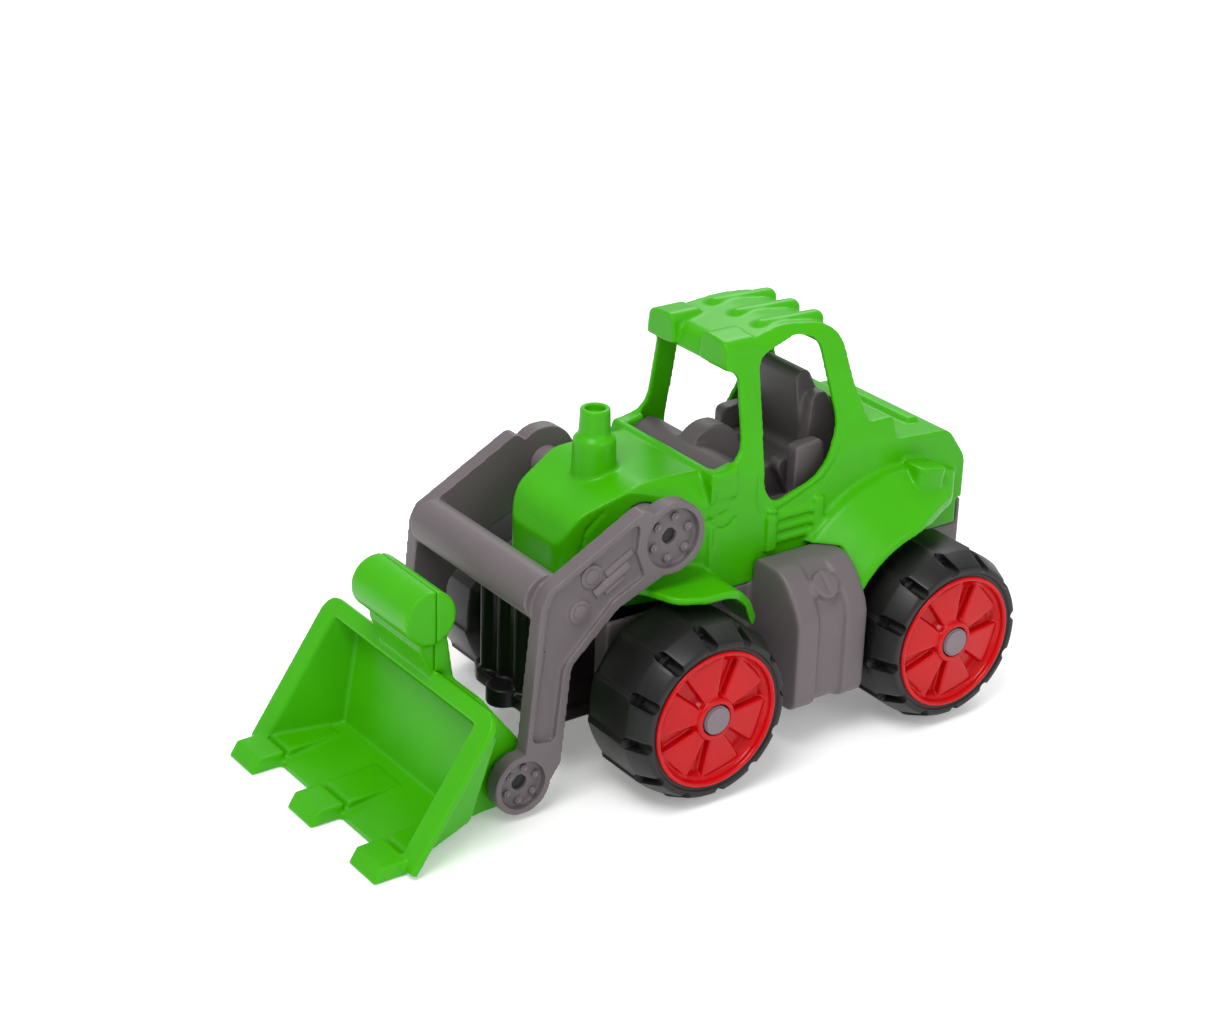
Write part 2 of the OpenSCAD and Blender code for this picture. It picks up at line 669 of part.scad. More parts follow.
module lift_frame() color(GREY) {
    both_sides() arm();
    difference() {
        rod_x(tube_r, -arm_x - 0.1, arm_x + 0.1, tube_y, tube_z);
        rod_x(tube_r - wall, -arm_x, arm_x, tube_y, tube_z);
        block([-arm_x, tube_y + 1, tube_z - tube_r - over], [arm_x, tube_y + tube_r + over, tube_z - 2]);
    }
}

module pivot_sleeve() color(GREY) {
    difference() {
        rod_x(sleeve_r, fit_gap - arm_x, arm_x - fit_gap, pivot_y, pivot_z);
        rod_x(shaft_hole_r, -arm_x, arm_x, pivot_y, pivot_z);
    }
}

module shaft(y, z) {
    rod_x(lift_shaft_r, 4.5 - arm_x - arm_t, arm_x + arm_t - 4.5, y, z);
}

module lift_shaft() color(STEEL) shaft(pivot_y, pivot_z);
module bucket_shaft() color(STEEL) shaft(bucket_pivot_y, bucket_pivot_z);

// ---------------------------------------------------------------- bucket

flange_x = bucket_w / 2;
mouth_x = flange_x - flange_w;
// The side walls narrow by this much for each millimetre behind the mouth
side_taper = 0.32;
flange_t = 3.4;
flange_up = 7;
flange_corner = 8;
floor_t = 2.4;
mouth_top = [bucket_pivot_y - 25.3, bucket_pivot_z + 36.6];
lip = [bucket_pivot_y - 59.5, floor_t];
back_top = [bucket_pivot_y - 16.5, bucket_pivot_z + 27.5];
back_low = [bucket_pivot_y - 25.5, floor_t + 5.6];
tooth_y = bucket_pivot_y - 71.5;
mouth_dir = unit(lip - mouth_top);
mouth_nor = [-mouth_dir[1], mouth_dir[0]];
mouth_len = norm(lip - mouth_top);
grip_y = bucket_pivot_y - 24.3;
grip_z = bucket_pivot_z + 65.6;
grip_split = grip_y + 2.5;
neck_x = grip_w / 2 - 1.5;

// A point in the side view: d down the mouth from its top edge, and n behind it
function along(d, n) = mouth_top + mouth_dir * d + mouth_nor * n;

// How far a point of the side view lies behind the mouth
function behind(p) = (p - mouth_top) * mouth_nor;

// A corner of a side view, as the three numbers of an outline
function at(p, r) = [p[0], p[1], r];

// A thin bar from p to q in the side view, only there to be a corner of a hull
module edge_bar(p, q, x) {
    t = unit(q - p) * 0.05;
    n = [-t[1], t[0]];
    side_plate([at(p, 0), at(q, 0), at(q + n, 0), at(p + n, 0)], -x, x);
}

// The hopper's volume; g grows it to the outside of its walls
module scoop(g) {
    hull() {
        edge_bar(along(-g, 0.05), lip + [g * 0.5, -g], mouth_x + g);
        for (p = [back_top, back_low])
            edge_bar(p + [g, -g * 0.5], p + [g, -g * 0.5 - 0.1], mouth_x + g - side_taper * behind(p));
    }
}

module flange_slab(g) {
    side_plate([
        at(along(-flange_up - g, -g), 0), at(along(-flange_up - g, flange_t + g), 0),
        at(along(mouth_len - 1, flange_t + g), 0), at(along(mouth_len - 1, -g), 0),
    ], -flange_x, flange_x);
}

// Cuts the two upper corners of the flange to their radius
module corner_cut() {
    r = flange_corner;
    translate([flange_x - r, along(-flange_up, 0)[0], along(-flange_up, 0)[1]])
        rotate([atan2(mouth_dir[1], mouth_dir[0]), 0, 0])
            difference() {
                block([0, -over, -10], [r + over, r, 10]);
                translate([0, r, -11]) cylinder(r = r, h = 22, $fn = ROUND);
            }
}

module tooth(x) {
    side_plate([
        [tooth_y, 0.15, 0], [tooth_y + 4, 6.3, 1], [bucket_pivot_y - 32, 7.4, 0], [bucket_pivot_y - 40, 3, 0],
        [lip[0] + 1, 0.15, 0],
    ], x - tooth_w / 2, x + tooth_w / 2);
}

module grip_roll() {
    difference() {
        rod_x(grip_r, -grip_w / 2, grip_w / 2, grip_y, grip_z);
        rod_x(grip_r - wall, -grip_w / 2 + wall, grip_w / 2 - wall, grip_y, grip_z);
    }
}

module bucket() color(GREEN) {
    difference() {
        union() {
            scoop(floor_t);
            difference() {
                flange_slab(0);
                both_sides() corner_cut();
            }
        }
        scoop(0);
        side_plate([
            at(along(0, -5), 0), at(along(0, 0.5), 0), at(along(mouth_len + 3, 0.5), 0),
            at(along(mouth_len + 3, -5), 0),
        ], -mouth_x, mouth_x);
        block([-flange_x - over, lip[0] - 10, -20], [flange_x + over, lip[0] + 60, 0.15]);
    }
    intersection() {
        union() for (i = [-1, 0, 1]) tooth(i * tooth_pitch);
        union() {
            scoop(floor_t);
            block([-flange_x, tooth_y - over, 0], [flange_x, lip[0] + 3, 20]);
        }
    }
    intersection() {
        union() {
            grip_roll();
            side_plate([
                [grip_y - 4, grip_z - grip_r - 3, 0], [grip_y - 4, grip_z - grip_r + 2, 0],
                [grip_y + 4, grip_z - grip_r + 2, 0], [grip_y + 4, mouth_top[1] + 4, 0],
                [grip_y + 1, mouth_top[1] + 3, 0],
            ], -neck_x, neck_x);
        }
        block([-60, grip_y - 40, 0], [60, grip_split, 300]);
    }
}

module bucket_back() color(GREEN) {
    difference() {
        union() {
            side_plate([
                [mouth_top[0] + 4, mouth_top[1] + 2, 0], [bucket_pivot_y - 14, bucket_pivot_z + 38, 3],
                [bucket_pivot_y - 5, bucket_pivot_z + 26, 8], [bucket_pivot_y + 9, bucket_pivot_z + 8, 7],
                [bucket_pivot_y + 8, bucket_pivot_z - 8, 6], [bucket_pivot_y - 6, bucket_pivot_z - 12, 5],
                [bucket_pivot_y - 24, bucket_pivot_z - 13, 0],
            ], 2 - arm_x, arm_x - 2);
            intersection() {
                union() {
                    grip_roll();
                    side_plate([
                        [grip_split - 4, grip_z - grip_r + 2, 0], [grip_y + 8, grip_z - grip_r + 3, 0],
                        [grip_y + 11, mouth_top[1], 0], [grip_split, mouth_top[1], 0],
                    ], -neck_x, neck_x);
                }
                block([-60, grip_split, 0], [60, grip_y + 40, 300]);
            }
        }
        scoop(floor_t + 0.02);
        flange_slab(0.02);
        rod_x(shaft_hole_r, -60, 60, bucket_pivot_y, bucket_pivot_z);
    }
}

chassis();
front_nose();
cockpit();
body_shell();
pivot_sleeve();
body_screws();
front_axle();
rear_axle();
hub_cap_front_left();
hub_cap_front_right();
hub_cap_rear_left();
hub_cap_rear_right();
tyre_front_left();
tyre_front_right();
tyre_rear_left();
tyre_rear_right();
rim_front_left();
rim_front_right();
rim_rear_left();
rim_rear_right();
lift_frame();
lift_shaft();
bucket_shaft();
bucket();
bucket_back();
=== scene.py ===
"""The finished looks of the toy front loader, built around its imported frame."""

import json
import logging
import math
from collections.abc import Sequence
from dataclasses import dataclass
from enum import Enum

import bpy
from mathutils import Matrix, Vector

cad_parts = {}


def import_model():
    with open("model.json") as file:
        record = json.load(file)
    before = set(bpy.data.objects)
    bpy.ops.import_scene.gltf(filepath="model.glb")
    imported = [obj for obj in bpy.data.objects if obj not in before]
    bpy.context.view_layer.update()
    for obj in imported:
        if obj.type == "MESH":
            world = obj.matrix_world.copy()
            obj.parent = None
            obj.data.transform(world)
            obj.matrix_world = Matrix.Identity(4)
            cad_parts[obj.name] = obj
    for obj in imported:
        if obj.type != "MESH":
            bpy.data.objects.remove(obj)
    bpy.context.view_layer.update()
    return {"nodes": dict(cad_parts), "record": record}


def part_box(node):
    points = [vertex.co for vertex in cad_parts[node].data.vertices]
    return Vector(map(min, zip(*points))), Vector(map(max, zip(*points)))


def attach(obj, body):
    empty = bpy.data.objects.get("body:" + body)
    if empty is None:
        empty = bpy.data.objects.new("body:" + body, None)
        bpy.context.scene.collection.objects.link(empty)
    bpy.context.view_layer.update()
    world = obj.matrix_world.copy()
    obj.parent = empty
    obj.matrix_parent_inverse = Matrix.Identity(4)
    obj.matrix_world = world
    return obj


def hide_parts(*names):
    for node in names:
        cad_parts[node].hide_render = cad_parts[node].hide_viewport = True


LOG = logging.getLogger("loader")
MM = 0.001
Point = tuple[float, float]
Thing = bpy.types.Object
Tree = bpy.types.NodeTree
Socket = bpy.types.NodeSocket


class Side(Enum):
    """The two sides of the loader, as the sign of X."""

    LEFT = 1
    RIGHT = -1


class Axis(Enum):
    """The axis that a round part is turned about, as Euler angles from Z."""

    X = (0.0, math.pi / 2, 0.0)
    Y = (math.pi / 2, 0.0, 0.0)
    Z = (0.0, 0.0, 0.0)


# ------------------------------------------------------------------ the bench


def put_down() -> None:
    """Leaves edit mode and deselects everything."""
    if bpy.context.object and bpy.context.object.mode != "OBJECT":
        bpy.ops.object.mode_set(mode="OBJECT")
    bpy.ops.object.select_all(action="DESELECT")


def pick(*things: Thing) -> None:
    """Selects only the given pieces; the last one becomes active.

    Args:
        things: the pieces.
    """
    put_down()
    for thing in things:
        thing.hide_set(False)
        thing.select_set(True)
        bpy.context.view_layer.objects.active = thing


def settle(thing: Thing, name: str = "") -> Thing:
    """Moves a piece's place, turn and size into its mesh.

    Args:
        thing: the piece.
        name: its new name, if it gets one.

    Returns:
        The same piece.
    """
    pick(thing)
    bpy.ops.object.transform_apply(location=True, rotation=True, scale=True)
    if name:
        thing.name = name
        thing.data.name = name
    return thing


def modify(thing: Thing, kind: str, **values: object) -> None:
    """Adds a modifier and applies it.

    Args:
        thing: the piece to change.
        kind: the modifier's type, such as BEVEL.
        values: the modifier's settings.
    """
    pick(thing)
    step = thing.modifiers.new(kind.title(), kind)
    for key, value in values.items():
        setattr(step, key, value)
    bpy.ops.object.modifier_apply(modifier=step.name)


def soften(thing: Thing, width: float, segments: int = 3, angle: float = 35.0) -> Thing:
    """Rounds a piece's sharp edges.

    Args:
        thing: the piece.
        width: how far each side of the edge is cut back, in metres.
        segments: how many facets make the round.
        angle: edges sharper than this many degrees are rounded.

    Returns:
        The same piece.
    """
    modify(
        thing, "BEVEL", width=width, segments=segments, limit_method="ANGLE",
        angle_limit=math.radians(angle), use_clamp_overlap=True,
    )
    return thing


def smooth(thing: Thing, angle: float) -> None:
    """Shades a piece smooth up to an angle, in degrees."""
    pick(thing)
    bpy.ops.object.shade_smooth_by_angle(angle=math.radians(angle))


def mend(thing: Thing, gap: float = 1e-6) -> Thing:
    """Merges a piece's double points and turns its faces outwards.

    Args:
        thing: the piece.
        gap: points closer than this are merged, in metres.

    Returns:
        The same piece.
    """
    pick(thing)
    bpy.ops.object.mode_set(mode="EDIT")
    bpy.ops.mesh.select_all(action="SELECT")
    bpy.ops.mesh.remove_doubles(threshold=gap)
    bpy.ops.mesh.normals_make_consistent(inside=False)
    bpy.ops.object.mode_set(mode="OBJECT")
    return thing


def box(low: Sequence[float], high: Sequence[float], rounding: float = 0.0) -> Thing:
    """Makes a block between two corners.

    Args:
        low: the lowest corner, in metres.
        high: the highest corner, in metres.
        rounding: the width of the rounded edges.

    Returns:
        The block.
    """
    put_down()
    a, b = Vector(low), Vector(high)
    bpy.ops.mesh.primitive_cube_add(size=1, location=(a + b) / 2, scale=b - a)
    block = settle(bpy.context.object)
    return soften(block, rounding) if rounding else block


def drum(centre: Sequence[float], radius: float, depth: float, axis: Axis, sides: int) -> Thing:
    """Makes a cylinder, or a prism with a few sides.

    Args:
        centre: its middle, in metres.
        radius: its radius.
        depth: its length along the axis.
        axis: the axis it lies along.
        sides: how many sides it has.

    Returns:
        The solid.
    """
    put_down()
    bpy.ops.mesh.primitive_cylinder_add(
        vertices=sides, radius=radius, depth=depth, location=centre, rotation=axis.value,
    )
    return settle(bpy.context.object)


def plate(outline: Sequence[Point], low: float, high: float) -> Thing:
    """Makes a slab with a side-view outline.

    Args:
        outline: the corners as (y, z), in metres.
        low: its lowest X.
        high: its highest X.

    Returns:
        The slab.
    """
    put_down()
    bpy.ops.mesh.primitive_circle_add(vertices=len(outline), fill_type="NGON")
    slab = bpy.context.object
    for vertex, (y, z) in zip(slab.data.vertices, outline):
        vertex.co = (low, y, z)
    bpy.ops.object.mode_set(mode="EDIT")
    bpy.ops.mesh.select_all(action="SELECT")
    bpy.ops.mesh.extrude_region_move(TRANSFORM_OT_translate={"value": (high - low, 0, 0)})
    bpy.ops.mesh.select_all(action="SELECT")
    bpy.ops.mesh.normals_make_consistent(inside=False)
    return settle(slab)


def lathe(section: Sequence[Point], centre: Sequence[float], steps: int) -> Thing:
    """Turns a closed section about an axis along X.

    Args:
        section: the section's corners as (radius, x), with x from the centre.
        centre: a point on the axis, in metres.
        steps: how many steps make the turn.

    Returns:
        The turned solid.
    """
    put_down()
    bpy.ops.mesh.primitive_circle_add(vertices=len(section), fill_type="NOTHING")
    ring = bpy.context.object
    ring.location = (0, 0, 0)
    middle = Vector(centre)
    for vertex, (radius, x) in zip(ring.data.vertices, section):
        vertex.co = middle + Vector((x, 0, radius))
    bpy.ops.object.mode_set(mode="EDIT")
    bpy.ops.mesh.select_all(action="SELECT")
    bpy.ops.mesh.spin(steps=steps, angle=math.tau, center=middle, axis=(1, 0, 0))
    bpy.ops.mesh.select_all(action="SELECT")
    bpy.ops.mesh.remove_doubles(threshold=1e-6)
    bpy.ops.mesh.normals_make_consistent(inside=False)
    return settle(ring)


def copies_round(thing: Thing, centre: Sequence[float], count: int, phase: float) -> Thing:
    """Repeats a piece round an axis along X and joins the copies.

    Args:
        thing: the piece, standing straight above the centre.
        centre: a point on the axis.
        count: how many there are.
        phase: how far the first one is turned, in degrees.

    Returns:
        One piece with every copy in it.
    """
    base = thing.data.copy()
    ring = []
    middle = Matrix.Translation(Vector(centre))
    for index in range(count):
        turned = thing if index == 0 else bpy.data.objects.new(thing.name, base.copy())
        if index:
            bpy.context.collection.objects.link(turned)
        turn = Matrix.Rotation(math.radians(phase + index * 360 / count), 4, "X")
        turned.data.transform(middle @ turn @ middle.inverted())
        ring.append(turned)
    return join(*ring)


def join(*things: Thing) -> Thing:
    """Joins pieces into the last one.

    Args:
        things: the pieces.

    Returns:
        The last piece, with the others in it.
    """
    pick(*things)
    bpy.ops.object.join()
    return bpy.context.object


def cut(target: Thing, tool: Thing) -> None:
    """Cuts a tool from a piece and throws the tool away."""
    modify(target, "BOOLEAN", operation="DIFFERENCE", object=tool, solver="EXACT", use_self=True)
    bpy.data.objects.remove(tool)


def mirrored(thing: Thing) -> Thing:
    """Copies a piece to the other side of the loader.

    Args:
        thing: the piece.

    Returns:
        The copy, with its own mesh.
    """
    other = bpy.data.objects.new(thing.name, thing.data.copy())
    bpy.context.collection.objects.link(other)
    other.data.transform(Matrix.Scale(-1, 4, (1, 0, 0)))
    return mend(other)


def arc(centre: Point, radius: float, start: float, end: float, steps: int) -> list[Point]:
    """Makes points on an arc.

    Args:
        centre: its centre.
        radius: its radius.
        start: the first point's angle, in degrees.
        end: the last point's angle, in degrees.
        steps: how many steps lie between them.

    Returns:
        The points.
    """
    turn = (end - start) / steps
    return [
        (centre[0] + radius * math.cos(math.radians(start + turn * i)),
         centre[1] + radius * math.sin(math.radians(start + turn * i)))
        for i in range(steps + 1)
    ]


def trace(target: Thing, path: Sequence[Point], towards: Axis, start: float) -> list[Vector]:
    """Drops a drawn line onto a surface.

    Args:
        target: the piece that it lands on.
        path: the line's points, as (y, z) seen along X or (x, y) seen along Z.
        towards: X to drop it from the left side, Z to drop it from above.
        start: how far out it starts, in metres.

    Returns:
        The points on the surface, in metres.
    """
    landed = []
    for a, b in path:
        if towards is Axis.X:
            origin, down = Vector((start, a, b)), Vector((-1, 0, 0))
        else:
            origin, down = Vector((a, b, start)), Vector((0, 0, -1))
        hit, spot, _, _ = target.ray_cast(origin, down)
        if hit:
            landed.append(spot)
    return landed


def bead(points: Sequence[Vector], radius: float) -> Thing:
    """Makes a round cord through some points, as a cutter.

    Args:
        points: the points, in metres.
        radius: its radius.

    Returns:
        The cord, as one mesh.
    """
    parts = []
    for a, b in zip(points, points[1:]):
        put_down()
        along = b - a
        bpy.ops.mesh.primitive_cylinder_add(
            vertices=10, radius=radius, depth=along.length + radius * 0.6, location=(a + b) / 2,
            rotation=along.to_track_quat("Z", "Y").to_euler(),
        )
        parts.append(settle(bpy.context.object))
    return join(*parts)


def dense(points: Sequence[Point], step: float = 0.0025) -> list[Point]:
    """Adds points to a line until none are far apart.

    Args:
        points: the line's corners, in metres.
        step: the widest gap between two points.

    Returns:
        The same line with its added points.
    """
    full = [points[0]]
    for a, b in zip(points, points[1:]):
        count = max(1, math.ceil(math.dist(a, b) / step))
        for i in range(1, count + 1):
            full.append((a[0] + (b[0] - a[0]) * i / count, a[1] + (b[1] - a[1]) * i / count))
    return full


def millimetres(*points: Point) -> list[Point]:
    """Returns points given in millimetres as metres."""
    return [(a * MM, b * MM) for a, b in points]


# ------------------------------------------------------------------ finishes

CLOUD_SCALE, SPECK_SCALE, SINK_SCALE = 38.0, 900.0, 60.0
CLOUD_SHARE, SPECK_SHARE = 0.6, 0.4
GRAIN_DEPTH, SINK_DEPTH = 0.00004, 0.0006
# Painted highlight: how pointed an edge must be to get the lighter colour, and how much lighter that colour
# is.
HIGHLIGHT_FROM, HIGHLIGHT_TO, HIGHLIGHT_LIGHT = 0.52, 0.62, 1.9
GLOW_DEPTH, GLOW_RADIUS = 0.002, (1.0, 0.25, 0.15)


def linear(value: float) -> float:
    """Turns one display colour value from 0 to 255 into linear light."""
    share = value / 255
    return share / 12.92 if share <= 0.04045 else ((share + 0.055) / 1.055) ** 2.4


@dataclass(frozen=True)
class Finish:
    """A moulded or metal surface: its colour, gloss, fine grain, sink ripple and painted highlight on sharp
    edges.
    """

    name: str
    colour: tuple[int, int, int]
    rough: float
    rough_spread: float = 0.06
    shade_spread: float = 0.05
    grain: float = 0.15
    grain_mm: float = 0.35
    ripple: float = 0.0
    specular: float = 0.5
    metal: float = 0.0
    glow: float = 0.0
    # Painted highlight on sharp edges: the largest share of the lighter colour.
    edge_highlight: float = 0.0

    def base(self, factor: float = 1.0) -> tuple[float, float, float, float]:
        """Returns the linear colour, lightened or darkened by a factor."""
        red, green, blue = (min(1.0, linear(value) * factor) for value in self.colour)
        return red, green, blue, 1.0

    def material(self) -> bpy.types.Material:
        """Builds the node material, once for each name.

        Returns:
            The material.
        """
        if self.name in bpy.data.materials:
            return bpy.data.materials[self.name]
        made = bpy.data.materials.new(self.name)
        made.use_nodes = True
        tree = made.node_tree
        shader = tree.nodes["Principled BSDF"]
        shader.inputs["Metallic"].default_value = self.metal
        shader.inputs["Specular IOR Level"].default_value = self.specular
        if self.glow:
            shader.inputs["Subsurface Weight"].default_value = self.glow
            shader.inputs["Subsurface Scale"].default_value = GLOW_DEPTH
            shader.inputs["Subsurface Radius"].default_value = GLOW_RADIUS
        place = tree.nodes.new("ShaderNodeTexCoord").outputs["Object"]
        cloud = self.noise(tree, place, CLOUD_SCALE, 3.0)
        shade = self.ramp(tree, cloud, self.base(1 - self.shade_spread), self.base(1 + self.shade_spread))
        shade = self.paint_edge_highlight(tree, shade) if self.edge_highlight else shade
        tree.links.new(shade, shader.inputs["Base Color"])
        tree.links.new(self.gloss(tree, place, cloud), shader.inputs["Roughness"])
        tree.links.new(self.relief(tree, place), shader.inputs["Normal"])
        return made

    @staticmethod
    def noise(tree: Tree, place: Socket, scale: float, detail: float) -> Socket:
        """Adds a noise pattern.

        Args:
            tree: the material's nodes.
            place: the coordinates.
            scale: how fine the pattern is.
            detail: how many finer layers it has.

        Returns:
            Its value socket.
        """
        node = tree.nodes.new("ShaderNodeTexNoise")
        node.inputs["Scale"].default_value = scale
        node.inputs["Detail"].default_value = detail
        tree.links.new(place, node.inputs["Vector"])
        return node.outputs["Fac"]

    @staticmethod
    def ramp(tree: Tree, value: Socket, low: Sequence[float], high: Sequence[float]) -> Socket:
        """Adds a ramp between two colours.

        Args:
            tree: the material's nodes.
            value: where on the ramp a point is.
            low: the colour at its start.
            high: the colour at its end.

        Returns:
            Its colour socket.
        """
        node = tree.nodes.new("ShaderNodeValToRGB")
        node.color_ramp.elements[0].position = 0.3
        node.color_ramp.elements[1].position = 0.7
        node.color_ramp.elements[0].color = low
        node.color_ramp.elements[1].color = high
        tree.links.new(value, node.inputs["Fac"])
        return node.outputs["Color"]

    def paint_edge_highlight(self, tree: Tree, shade: Socket) -> Socket:
        """Paints a lighter colour on the sharp outer edges, as a painted highlight.

        Args:
            tree: the material's nodes.
            shade: the colour before the painted edge highlight.

        Returns:
            The colour socket after it.
        """
        # Painted highlight: the more pointed the edge, the more of the lighter colour it gets.
        shape = tree.nodes.new("ShaderNodeNewGeometry").outputs["Pointiness"]
        reach = tree.nodes.new("ShaderNodeMapRange")
        reach.inputs["From Min"].default_value = HIGHLIGHT_FROM
        reach.inputs["From Max"].default_value = HIGHLIGHT_TO
        reach.inputs["To Max"].default_value = self.edge_highlight
        tree.links.new(shape, reach.inputs["Value"])
        mix = tree.nodes.new("ShaderNodeMix")
        mix.data_type = "RGBA"
        mix.inputs["B"].default_value = self.base(HIGHLIGHT_LIGHT)
        tree.links.new(reach.outputs["Result"], mix.inputs["Factor"])
        tree.links.new(shade, mix.inputs["A"])
        return mix.outputs["Result"]

    def gloss(self, tree: Tree, place: Socket, cloud: Socket) -> Socket:
        """Varies the roughness in broad clouds and fine specks.

        Args:
            tree: the material's nodes.
            place: the coordinates.
            cloud: the broad pattern.

        Returns:
            The roughness socket.
        """
        broad = tree.nodes.new("ShaderNodeMath")
        broad.operation = "MULTIPLY"
        broad.inputs[1].default_value = CLOUD_SHARE
        tree.links.new(cloud, broad.inputs[0])
        mixed = tree.nodes.new("ShaderNodeMath")
        mixed.operation = "MULTIPLY_ADD"
        mixed.inputs[1].default_value = SPECK_SHARE
        tree.links.new(self.noise(tree, place, SPECK_SCALE, 2.0), mixed.inputs[0])
        tree.links.new(broad.outputs[0], mixed.inputs[2])
        rough = tree.nodes.new("ShaderNodeMapRange")
        rough.inputs["To Min"].default_value = self.rough - self.rough_spread
        rough.inputs["To Max"].default_value = self.rough + self.rough_spread
        tree.links.new(mixed.outputs[0], rough.inputs["Value"])
        return rough.outputs["Result"]

    def relief(self, tree: Tree, place: Socket) -> Socket:
        """Adds the spark-eroded grain and the slight sink ripple.

        Args:
            tree: the material's nodes.
            place: the coordinates.

        Returns:
            The normal socket.
        """
        fine = tree.nodes.new("ShaderNodeBump")
        fine.inputs["Strength"].default_value = self.grain
        fine.inputs["Distance"].default_value = GRAIN_DEPTH
        tree.links.new(self.noise(tree, place, 1 / (self.grain_mm * MM), 2.0), fine.inputs["Height"])
        broad = tree.nodes.new("ShaderNodeBump")
        broad.inputs["Strength"].default_value = self.ripple
        broad.inputs["Distance"].default_value = SINK_DEPTH
        tree.links.new(self.noise(tree, place, SINK_SCALE, 1.0), broad.inputs["Height"])
        tree.links.new(fine.outputs["Normal"], broad.inputs["Normal"])
        return broad.outputs["Normal"]


GREEN = Finish(
    "green_moulding", (60, 164, 0), rough=0.30, rough_spread=0.05, grain=0.12, grain_mm=0.5,
    ripple=0.10, specular=0.2, edge_highlight=0.12,
)
GREY = Finish(
    "grey_moulding", (98, 90, 93), rough=0.44, grain=0.3, grain_mm=0.4,
    ripple=0.05, specular=0.4, edge_highlight=0.45,
)
# Painted shade: the same grey plastic as the chassis, made darker for the shade inside the cab.
SHADED_COCKPIT = Finish(
    "cockpit_moulding", (84, 77, 80), rough=0.46, grain=0.3, grain_mm=0.4,
    ripple=0.05, specular=0.4, edge_highlight=0.4,
)
# Painted shade: the nose gets a near-black colour, standing in for the deep shade that lies on it.
SHADED_NOSE = Finish(
    "black_moulding", (17, 16, 16), rough=0.40, shade_spread=0.08, grain=0.25, grain_mm=0.4,
    ripple=0.05, specular=0.32, edge_highlight=0.25,
)
TYRE = Finish(
    "tyre_plastic", (15, 14, 14), rough=0.40, rough_spread=0.08, shade_spread=0.12, grain=0.4, grain_mm=0.5,
    ripple=0.10, specular=0.34, edge_highlight=0.35,
)
RED = Finish(
    "red_moulding", (184, 6, 12), rough=0.2, rough_spread=0.05, grain=0.06, grain_mm=0.6,
    ripple=0.10, specular=0.22, glow=0.1, edge_highlight=0.1,
)
CAP = Finish(
    "cap_moulding", (116, 104, 111), rough=0.42, rough_spread=0.05, grain=0.2, grain_mm=0.4,
    ripple=0.05, specular=0.35, edge_highlight=0.2,
)
DARK_ROD = Finish(
    "blackened_rod", (34, 32, 33), rough=0.5, shade_spread=0.08, grain=0.2, grain_mm=0.3,
    specular=0.3,
)
STEEL = Finish(
    "steel_rod", (190, 192, 196), rough=0.28, grain=0.2, grain_mm=0.2,
    metal=1.0,
)


def dress(thing: Thing, finish: Finish) -> None:
    """Gives a piece one finish all over."""
    thing.data.materials.clear()
    thing.data.materials.append(finish.material())


# ------------------------------------------------------------------ mouldings


@dataclass
class Moulding:
    """A moulded piece that starts from its CAD solid and gets its real rounding and detail."""

    node: str
    body: str
    slot: str
    finish: Finish
    grid: float = 0.8 * MM
    rounds: int = 5
    most_faces: int = 180_000

    def start(self) -> Thing:
        """Copies the CAD solid and merges its double points.

        Returns:
            The copy.
        """
        pick(self.source)
        bpy.ops.object.duplicate(linked=False)
        copy = bpy.context.object
        copy.parent = None
        return mend(settle(copy, self.node + "_moulding"))

    @property
    def source(self) -> Thing:
        """The CAD node this piece stands for."""
        return NODES[self.node]

    def add(self, piece: Thing) -> Thing:
        """Cuts or adds the detail that is rounded when the surface is remade."""
        return piece

    def engrave(self, piece: Thing) -> Thing:
        """Adds the crisp detail after the surface is remade."""
        return piece

    def build(self) -> Thing:
        """Makes the piece and puts it in place of its CAD node.

        Returns:
            The finished piece.
        """
        piece = self.add(self.start())
        modify(piece, "REMESH", mode="VOXEL", voxel_size=self.grid, adaptivity=0.0)
        modify(piece, "SMOOTH", factor=0.5, iterations=self.rounds)
        triangles = 2 * len(piece.data.polygons)
        if triangles > self.most_faces:
            modify(piece, "DECIMATE", ratio=self.most_faces / triangles)
        piece = self.engrave(piece)
        smooth(piece, 50)
        dress(piece, self.finish)
        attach(piece, self.body)
        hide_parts(self.node)
        LOG.info("%s: %d faces", piece.name, len(piece.data.polygons))
        return piece


NODES: dict[str, Thing] = {}
RECORD: dict = {}


